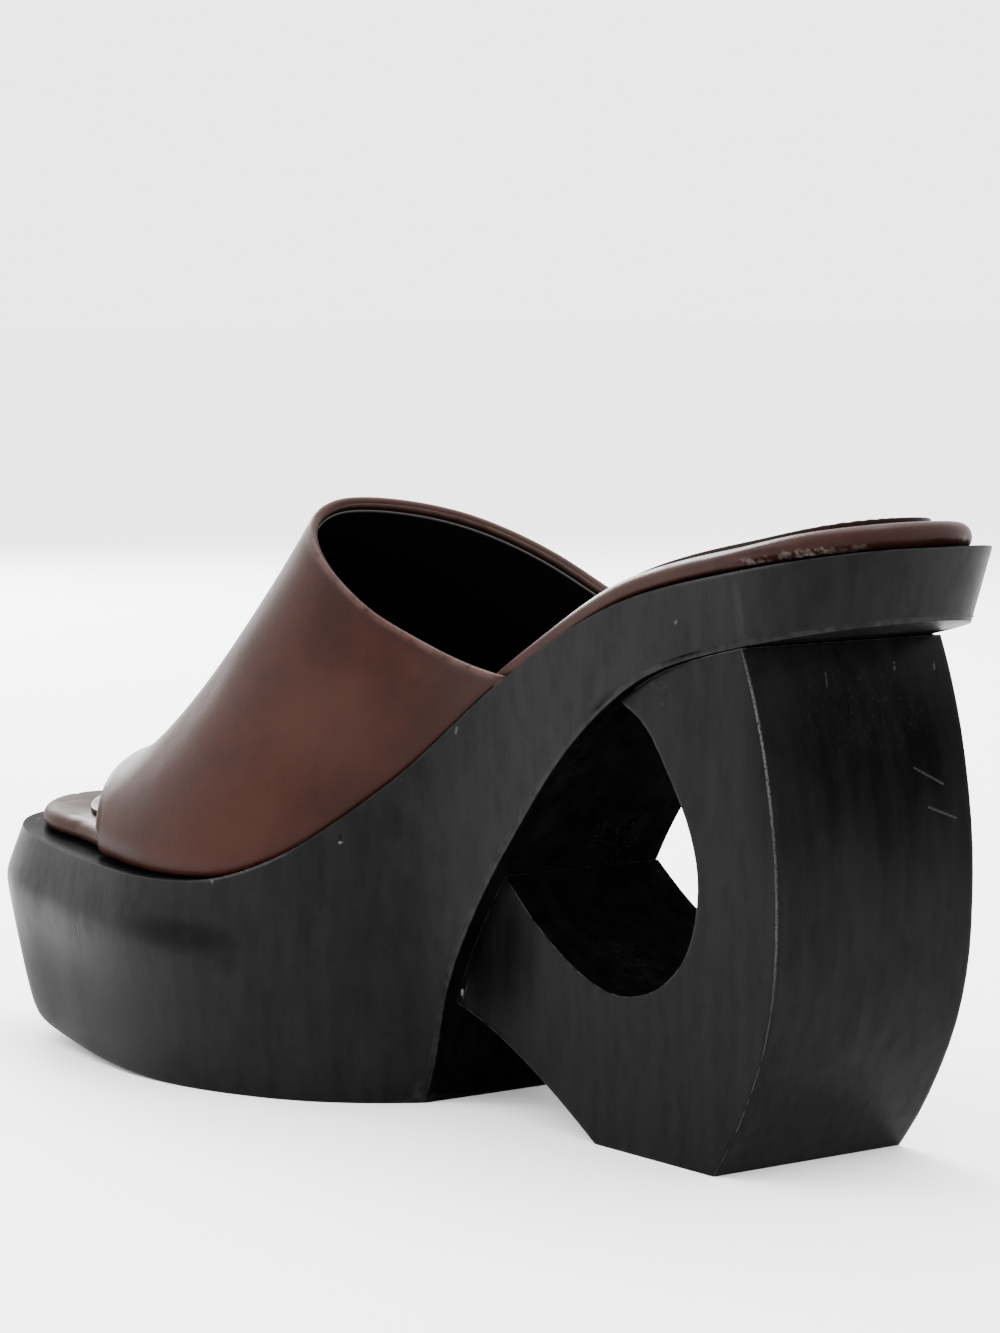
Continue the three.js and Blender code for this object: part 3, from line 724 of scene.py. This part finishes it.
# %% Band shape
BAND_EDGE = 0.65 * MM
BEAD_PLACE = 0.7 * MM
BEAD_WIDTH = 0.8 * MM
BEAD_HEIGHT = 0.11 * MM
FOLD_LINE_PLACE = 1.8 * MM
FOLD_LINE_WIDTH = 0.55 * MM
FOLD_LINE_DEPTH = 0.08 * MM
EDGE_SAMPLE = 0.25 * MM
END_FACES = range(30, 41)
SKIN_LEAN = 0.2
BAND_AXIS = Vector((0.0, 1.2, 50.0)) * MM


def outward(place):
    """Square to the foot's middle line, away from it."""
    return Vector((0.0, place.y - BAND_AXIS.y, place.z - BAND_AXIS.z)).normalized()


def is_outer(faces):
    """Whether a patch of the band faces away from the foot."""
    return sum(f.normal.dot(outward(f.calc_center_median())) for f in faces) > 0


def shared_line(one, other):
    """Closely spaced points on the edges that two patches share, ready to measure to."""
    other = set(other)
    edges = {e for f in one for e in f.edges if any(g in other for g in e.link_faces)}
    points = []
    for edge in edges:
        start, end = (v.co.copy() for v in edge.verts)
        steps = max(1, int((end - start).length / EDGE_SAMPLE))
        points += [start.lerp(end, k / steps) for k in range(steps + 1)]
    tree = kdtree.KDTree(len(points))
    for k, point in enumerate(points):
        tree.insert(point, k)
    tree.balance()
    return tree


band = quads_of(nodes["upper"])
band.normal_update()
band_patches = patches(band)
outer_skin = max(band_patches[:2], key=is_outer)
ends = [p for p in band_patches[2:] if len(p) in END_FACES]
ends.sort(key=lambda faces: sum(f.calc_center_median().x for f in faces))
topline, toe_edge = (shared_line(outer_skin, end) for end in ends)
print("faces of the band's patches:", [len(patch) for patch in band_patches])
end_edges = [e for e in arrises(band) if any(f in end for end in ends for f in e.link_faces)]
soften(band, BAND_EDGE, 3, end_edges)
band = subdivided(band, 2)
print("band faces once subdivided:", len(band.faces))

# %% [markdown]
# The dents are rows: where one starts and ends on the shoe, how wide it is and how deep. Below
# zero is a trough and above zero a ridge. They lie where leather buckles on a worn mule: across
# the instep below the topline, beside the ball and above the toes.

# %% Dents of the band
DENTS = [
    dent((6, 12, 96), (22, 20, 84), width=5.0, depth=-0.45),
    dent((12, 18, 78), (30, 28, 66), width=6.0, depth=-0.4),
    dent((0, 16, 82), (14, 24, 70), width=4.5, depth=0.35),
    dent((26, 18, 96), (40, 26, 84), width=6.5, depth=0.4),
    dent((44, 26, 82), (58, 34, 68), width=6.0, depth=-0.45),
    dent((62, 30, 70), (72, 36, 58), width=4.0, depth=0.3),
    dent((30, -20, 112), (44, 2, 108), width=5.0, depth=-0.4),
    dent((56, -24, 86), (62, 4, 88), width=6.0, depth=-0.35),
    dent((20, -44, 80), (36, -50, 66), width=6.0, depth=-0.5),
    dent((0, -36, 84), (16, -42, 70), width=5.0, depth=0.4),
    dent((48, -46, 66), (62, -44, 58), width=5.0, depth=-0.4),
]


layers = {name: band.verts.layers.float.new(name) for name in ("topline_gap", "toe_gap", "inside")}
band.normal_update()
moves = []
for vert in band.verts:
    away = outward(vert.co)
    facing = vert.normal.dot(away)
    top_gap = topline.find(vert.co)[2]
    toe_gap = toe_edge.find(vert.co)[2]
    vert[layers["topline_gap"]] = top_gap / MM
    vert[layers["toe_gap"]] = toe_gap / MM
    vert[layers["inside"]] = 1.0 if facing < -SKIN_LEAN else 0.0
    move = away * dent_at(vert.co, DENTS)
    if facing > SKIN_LEAN:
        for gap in (top_gap, toe_gap):
            move += vert.normal * BEAD_HEIGHT * swell(gap, BEAD_PLACE, BEAD_WIDTH)
            move -= vert.normal * FOLD_LINE_DEPTH * swell(gap, FOLD_LINE_PLACE, FOLD_LINE_WIDTH)
    moves.append(move)
for vert, move in zip(band.verts, moves):
    vert.co += move
print("largest move, mm:", round(max(m.length for m in moves) / MM, 2))

# %% [markdown]
# The leather is dyed through and lightly waxed: an even brown in soft clouds, with fine pores
# and a satin gloss. The gloss is a thin coat over a rougher base. Band, insole and sock are cut
# from much the same leather, so one function makes all three, each with its own two browns.

# %% Leather finish
PORE_SCALE = 2600
LEATHER_RELIEF = 0.05 * MM
COAT_ROUGHNESS = 0.3
BASE_GLOSS = 0.05
COAT = 0.03


def leather(name, deep, pale, roughness):
    """Smooth dyed leather under a thin wax coat, with its colour, roughness and height so far."""
    finish = Finish(name, roughness=roughness, specular=BASE_GLOSS)
    clouds = finish.noise(24, detail=4.0, roughness=0.55, distortion=0.6)
    fine = finish.noise(160, detail=5.0, roughness=0.6)
    tone = finish.between(clouds * 0.7 + fine * 0.3, 0.34, 0.68)
    pores = finish.between(finish.cells(PORE_SCALE), 0.1, 0.5)
    pore_colour = paint(*(c * 0.45 for c in deep))
    colour = finish.mix(tone, paint(*deep), paint(*pale))
    colour = finish.mix((1 - pores) * 0.3, colour, pore_colour)
    grain = finish.cells(1500) * 0.5 + finish.noise(900, detail=3.0) * 0.5
    rough = finish.between(fine, 0.3, 0.7) * 0.1 + roughness - 0.05
    finish.shader.inputs["Coat Weight"].default_value = COAT
    finish.shader.inputs["Coat Roughness"].default_value = COAT_ROUGHNESS
    return finish, colour, rough, grain + clouds * 1.5


def dress(finish, colour, rough, height, relief=LEATHER_RELIEF):
    """Feeds the finished sums to the shader."""
    finish.feed("Base Color", colour)
    finish.feed("Roughness", rough)
    finish.feed("Normal", finish.bumped(height, relief))


# %% [markdown]
# More colour comes on top of the band's leather. Clouds of painted light and painted shade copy its
# reflections and the shade near the wood. A rubbed edge is partly real wear and partly a painted highlight
# along the folded rim, the fold line gets a painted shade, the brown facing that shows inside before the
# lining starts is painted lighter as a highlight, and the inner skin below it gets a painted shade. The
# last four follow the distances to the edges that its points store, in millimetres.

# %% Band finish
BAND_DEEP = (0.0120, 0.0027, 0.0015)
BAND_PALE = (0.0215, 0.0060, 0.0035)
# Painted light and painted shade: the colours of the lighter and darker clouds on the band
PAINTED_LIGHT_CLOUD = paint(0.032, 0.0135, 0.0098)
PAINTED_SHADE_CLOUD = paint(0.0065, 0.0013, 0.0008)
# Partly real wear and partly a painted highlight along the folded rim of the band
RUBBED_AND_LIT_EDGE = paint(0.055, 0.030, 0.025)
FOLD_SHADE = paint(0.008, 0.0035, 0.0025)
# Painted highlight: the brown facing strip, several times lighter than the band's leather, as the lit
# folded edge
LIT_FACING = paint(0.085, 0.054, 0.049)
# Painted shade: the inner skin of the band below the facing, near black
SHADE_UNDER_LINING = paint(0.002, 0.0013, 0.0013)
# Painted light and painted shade: a lighter cloud where the band catches a pale reflection, a darker cloud
# along a dark reflection below the topline, and a darker cloud of contact shade near the wood at the back
BAND_LIGHT_AND_SHADE = [
    (spot((7, 25, 75), (22, 16, 17), share=0.36), PAINTED_LIGHT_CLOUD),
    (spot((10, 22, 95), (9, 14, 17), share=0.45), PAINTED_SHADE_CLOUD),
    (spot((-21, 13.6, 82), (12, 12, 13), share=0.5), PAINTED_SHADE_CLOUD),
]

band_leather, colour, rough, height = leather("band_leather", BAND_DEEP, BAND_PALE, roughness=0.45)
# Lays the clouds of painted light and painted shade on the band
for cloud, painted_tone in BAND_LIGHT_AND_SHADE:
    mask = near_point(band_leather, *cloud["place"]) * cloud["share"]
    colour = band_leather.mix(mask, colour, painted_tone)
top_gap = band_leather.painted("topline_gap")
toe_gap = band_leather.painted("toe_gap")
inside = band_leather.painted("inside")
edge_gap = top_gap.lowest(toe_gap)
rubbed = band_leather.between(band_leather.noise(300), 0.25, 0.6)
# A paler rim along the edges: partly rubbed leather, partly a painted highlight
edge_rub_and_highlight = band_leather.between(edge_gap, 1.4, 0.3) * rubbed
colour = band_leather.mix(edge_rub_and_highlight * 0.5, colour, RUBBED_AND_LIT_EDGE)
fold_line = band_leather.between(edge_gap, 1.2, 1.6) * band_leather.between(edge_gap, 2.4, 1.8)
colour = band_leather.mix(fold_line * 0.5, colour, FOLD_SHADE)
# The brown facing strip inside the topline, painted lighter as a highlight
facing = inside * band_leather.between(top_gap, 2.6, 1.8)
colour = band_leather.mix(facing * 0.85, colour, LIT_FACING)
# Painted shade on the inner skin below the facing
shade = inside * band_leather.between(top_gap, 1.9, 2.8)
colour = band_leather.mix(shade, colour, SHADE_UNDER_LINING)
dress(band_leather, colour, rough, height)
finished(band, "leather_band", band_leather, "upper", levels=0)

# %% [markdown]
# Inside, a thin black lining is glued to the band. It stops short of the folded edge, so a strip
# of brown shows all round the opening, and its cut edge is a thin grey line. It is the band's
# inner skin without the outer half of its outermost row of faces, given the thickness of
# lining cloth.

# %% Lining
LINING_LIFT = 0.03 * MM
LINING_THICK = 0.22 * MM
HAIR = 0.35 * MM
LINING_RELIEF = 0.04 * MM
CLOTH_DEEP = paint(0.0008, 0.0008, 0.0009)
CLOTH_PALE = paint(0.0022, 0.0020, 0.0022)
CUT_CLOTH = paint(0.065, 0.061, 0.058)

lining = quads_of(nodes["upper"])
lining.normal_update()
kept = set(min(patches(lining)[:2], key=is_outer))
others = [f for f in lining.faces if f not in kept]
bmesh.ops.delete(lining, geom=others, context="FACES")
crossing = [e for e in lining.edges if sum(v.is_boundary for v in e.verts) == 1]
bmesh.ops.subdivide_edges(lining, edges=crossing, cuts=1, use_grid_fill=True)
outermost = [f for f in lining.faces if any(v.is_boundary for v in f.verts)]
bmesh.ops.delete(lining, geom=outermost, context="FACES")
lining.normal_update()
for vert in lining.verts:
    vert.co += (LINING_LIFT + LINING_THICK) * vert.normal
inset(lining, lining.faces[:], HAIR, even=False)
cut = lining.verts.layers.float.new("cut_edge")
for vert in lining.verts:
    vert[cut] = 1.0 if vert.is_boundary else 0.0
bmesh.ops.solidify(lining, geom=lining.faces[:], thickness=LINING_THICK)
lining_cloth = Finish("lining_cloth", roughness=0.8, specular=0.0)
weave = lining_cloth.noise(1800, detail=2.0)
colour = lining_cloth.mix(weave, CLOTH_DEEP, CLOTH_PALE)
colour = lining_cloth.mix(lining_cloth.painted("cut_edge"), colour, CUT_CLOTH)
dress(lining_cloth, colour, weave * 0.15 + 0.7, weave, LINING_RELIEF)
finished(lining, "band_lining", lining_cloth, levels=1)

# %% [markdown]
# The insole is a foam pad wrapped in thin leather, pulled under and glued to the wood. So its
# edge is slightly puckered where the seat and the toe turn sharply, and dried glue shows in
# places where it meets the wood. Both are rows in millimetres, like the marks on the wood.

# %% Glue and puckers of the insole
GLUE_DABS = [
    mark((-106.0, 9.6, 111.2), (-110.6, 7.3, 112.2), width=0.7, share=0.8),
    mark((-110.8, 7.3, 112.3), (-113.5, 4.8, 112.6), width=0.9, share=1.0),
    mark((-113.5, 4.8, 112.6), (-116.5, 1.5, 113.1), width=0.6, share=0.8),
    mark((-98.0, 11.4, 110.6), (-103.8, 10.5, 111.5), width=1.2, share=0.3),
    mark((-106.5, 9.8, 112.1), (-113.0, 6.2, 113.1), width=1.5, share=0.3),
    mark((-113.0, 6.2, 113.1), (-118.0, 1.0, 114.0), width=1.2, share=0.2),
    mark((-70, 14.0, 105.6), (-86, 13.4, 108.5), width=0.5, share=0.5),
    mark((97, 28.5, 45.8), (108, 22.5, 46.2), width=0.6, share=0.6),
]
PUCKERS = [
    dent((-90, 12.5, 111.5), (-104, 11.0, 114.5), width=1.3, depth=0.30),
    dent((-94, 12.5, 110.0), (-112, 9.0, 112.5), width=0.9, depth=-0.35),
    dent((-112, 10.0, 115.5), (-116, 6.0, 113.0), width=1.0, depth=-0.3),
    dent((-117, 5.0, 116.0), (-119, 2.0, 113.0), width=0.9, depth=-0.3),
    dent((-119, -2.0, 116.5), (-121, -4.0, 113.5), width=0.9, depth=0.25),
    dent((-119, -14, 116.5), (-121, -15, 113.5), width=0.9, depth=-0.3),
    dent((-117, -22, 116.0), (-119, -25, 113.0), width=1.0, depth=-0.3),
    dent((-108, -30, 115.5), (-112, -34, 112.5), width=1.1, depth=-0.3),
    dent((84, 31.0, 50.5), (86, 34.0, 46.5), width=1.1, depth=-0.4),
    dent((90, 27.0, 50.5), (93, 31.0, 46.5), width=0.9, depth=-0.3),
    dent((97, 25.0, 50.5), (100, 29.0, 47.0), width=0.9, depth=-0.35),
    dent((105, 21.0, 50.5), (109, 24.0, 47.0), width=1.0, depth=-0.3),
    dent((112, 14.0, 50.5), (117, 15.0, 47.0), width=1.0, depth=-0.3),
    dent((113, 4.0, 50.5), (118, 3.0, 47.0), width=1.0, depth=0.25),
    dent((110, -6.0, 50.5), (115, -9.0, 47.0), width=1.0, depth=-0.3),
    dent((102, -16, 50.5), (106, -20, 46.5), width=1.1, depth=-0.3),
]

# %% [markdown]
# The glue is pale and broken up by noise, as it dries in crumbs and is wiped off in part.

# %% Insole finish
INSOLE_DEEP = (0.0120, 0.0034, 0.0024)
INSOLE_PALE = (0.0215, 0.0072, 0.0050)
DRIED_GLUE = paint(0.15, 0.13, 0.12)
# The toe end is a little duller than the rest
TOE_DUST = spot((104, 4, 50), (30, 50, 12), share=0.4)

insole_leather, colour, rough, height = leather(
    "insole_leather", INSOLE_DEEP, INSOLE_PALE, roughness=0.42
)
broken = insole_leather.between(insole_leather.noise(800, detail=4.0), 0.45, 0.6)
for dab in GLUE_DABS:
    mask = near_line(insole_leather, *dab["line"]) * broken
    colour = insole_leather.mix(mask * dab["share"], colour, DRIED_GLUE)
dust = near_point(insole_leather, *TOE_DUST["place"]) * TOE_DUST["share"]
dress(insole_leather, colour, rough + dust, height)

# %% [markdown]
# The pad is the solid, subdivided until its edge is round, with the puckers moved in and out. At
# the back of the seat the foam stands a little prouder than in the solid, as in the photo.

# %% Insole
SEAT_RISE_FROM = -93 * MM
SEAT_RISE_TO = -112 * MM
PAD_RISE = 0.6 * MM


def seat_share(x):
    """0 ahead of the seat, 1 at its back and soft in between."""
    share = min(1.0, max(0.0, (SEAT_RISE_FROM - x) / (SEAT_RISE_FROM - SEAT_RISE_TO)))
    return share * share * (3 - 2 * share)


pad = subdivided(quads_of(nodes["insole"]), 2)
for vert in pad.verts:
    vert.co.z += PAD_RISE * max(0.0, vert.normal.z) * seat_share(vert.co.x)
lifts = [dent_at(vert.co, PUCKERS) for vert in pad.verts]
for vert, lift in zip(pad.verts, lifts):
    vert.co += vert.normal * lift
insole = finished(pad, "padded_insole", insole_leather, "insole", levels=0)

# %% [markdown]
# The sock is a thinner leather shape stuck on top of the insole. It is cut with a knife, so its edge is
# square, and the foot of that edge gets a painted shade where it meets the insole, as the dark gap there.
# At the back of the seat it follows the pad up and reaches a little farther back than its solid does.

# %% Sock
SOCK_DEEP = (0.0090, 0.0030, 0.0022)
SOCK_PALE = (0.0160, 0.0060, 0.0046)
# Painted shade for the gap where the sock's edge meets the insole
SOCK_GAP_SHADE = paint(0.003, 0.002, 0.002)
SOCK_RISE = 0.95 * MM
SOCK_BACK = 1.8 * MM
SOCK_HOLD = 0.8 * MM
SOCK_ARRIS = 0.25 * MM
SHADED_FOOT_LEAN = -0.25


def facing_up(faces):
    """How far a patch faces up, in square faces."""
    return sum(f.normal.z for f in faces)


sock_mesh = quads_of(nodes["sock"])
sock_mesh.normal_update()
for vert in sock_mesh.verts:
    rise = SOCK_RISE if vert.normal.z > 0 else PAD_RISE
    vert.co += Vector((-SOCK_BACK, 0.0, rise)) * seat_share(vert.co.x)
sock_mesh.normal_update()
seam_guide = sock_mesh.copy()
for patch in patches(sock_mesh)[:2]:
    inset(sock_mesh, patch, SOCK_HOLD)
soften(sock_mesh, SOCK_ARRIS, ARRIS_STEPS)
sock_mesh.normal_update()
arris_layer = sock_mesh.verts.layers.float["arris"]
for vert in sock_mesh.verts:
    if vert.normal.z > SHADED_FOOT_LEAN:
        vert[arris_layer] = 0.0
sock_leather, colour, rough, height = leather("sock_leather", SOCK_DEEP, SOCK_PALE, roughness=0.45)
# Painted shade: the lower arris of the sock's edge is darkened as the gap under it
shaded_foot = sock_leather.between(sock_leather.painted("arris"), 0.2, 0.9)
dress(sock_leather, sock_leather.mix(shaded_foot * 0.8, colour, SOCK_GAP_SHADE), rough, height)
sock = finished(sock_mesh, "insole_sock", sock_leather, "sock")

# %% [markdown]
# A row of stitches follows the sock's edge. Its line is the border of the sock's top after an
# inset, so the row keeps its distance from the cut all the way round.

# %% Seam line
STITCH_IN = 2.0 * MM

top_faces = max(patches(seam_guide), key=facing_up)
rim_faces = set(inset(seam_guide, top_faces, STITCH_IN, even=False))
inner_faces = set(top_faces) - rim_faces
rim_edges = [e for f in rim_faces for e in f.edges]
seam = list({e for e in rim_edges if any(f in inner_faces for f in e.link_faces)})
seam.sort(key=lambda e: math.atan2(*(e.verts[0].co + e.verts[1].co).yx))
print("edges of the seam line:", len(seam))

# %% [markdown]
# The stitches are short loops of thread, pulled slightly into the leather. Each one is a small
# stretched ball, turned along the seam line and set one pitch after the last.

# %% Stitches
STITCH_PITCH = 3.2 * MM
STITCH_HALF = Vector((1.15, 0.3, 0.22)) * MM
THREAD_RELIEF = 0.04 * MM
THREAD_DEEP = paint(0.006, 0.003, 0.0025)
THREAD_PALE = paint(0.03, 0.017, 0.014)

stitches = bmesh.new()
to_next = 0.0
for edge in seam:
    start, end = (v.co for v in edge.verts)
    length = (end - start).length
    along = (end - start).normalized()
    up = (Vector((0, 0, 1)) - along * along.z).normalized()
    turn = Matrix((along, up.cross(along), up)).transposed().to_4x4()
    while to_next < length:
        ball = bmesh.ops.create_icosphere(stitches, subdivisions=2, radius=1.0)["verts"]
        place = Matrix.Translation(start + along * to_next) @ turn @ Matrix.Diagonal((*STITCH_HALF, 1))
        bmesh.ops.transform(stitches, matrix=place, verts=ball)
        to_next += STITCH_PITCH
    to_next -= length
seam_guide.free()
thread = Finish("waxed_thread", roughness=0.5, specular=0.2)
twist = thread.noise(2500, detail=2.0)
dress(thread, thread.mix(twist, THREAD_DEEP, THREAD_PALE), twist * 0.2 + 0.4, twist, THREAD_RELIEF)
finished(stitches, "sock_stitches", thread, levels=0)

# %% [markdown]
# The floor is plain pale paper. Only a faint grain keeps it from looking like a painted void.

# %% Floor finish
PAPER_DEEP = paint(0.93, 0.93, 0.935)
PAPER_PALE = paint(0.96, 0.96, 0.962)
PAPER_RELIEF = 0.02 * MM

paper = Finish("studio_paper", roughness=0.85, specular=0.1)
paper_grain = paper.noise(300, detail=3.0)
paper.feed("Base Color", paper.mix(paper_grain, PAPER_DEEP, PAPER_PALE))
paper.feed("Normal", paper.bumped(paper_grain, PAPER_RELIEF))
floor.data.materials.append(paper.material)
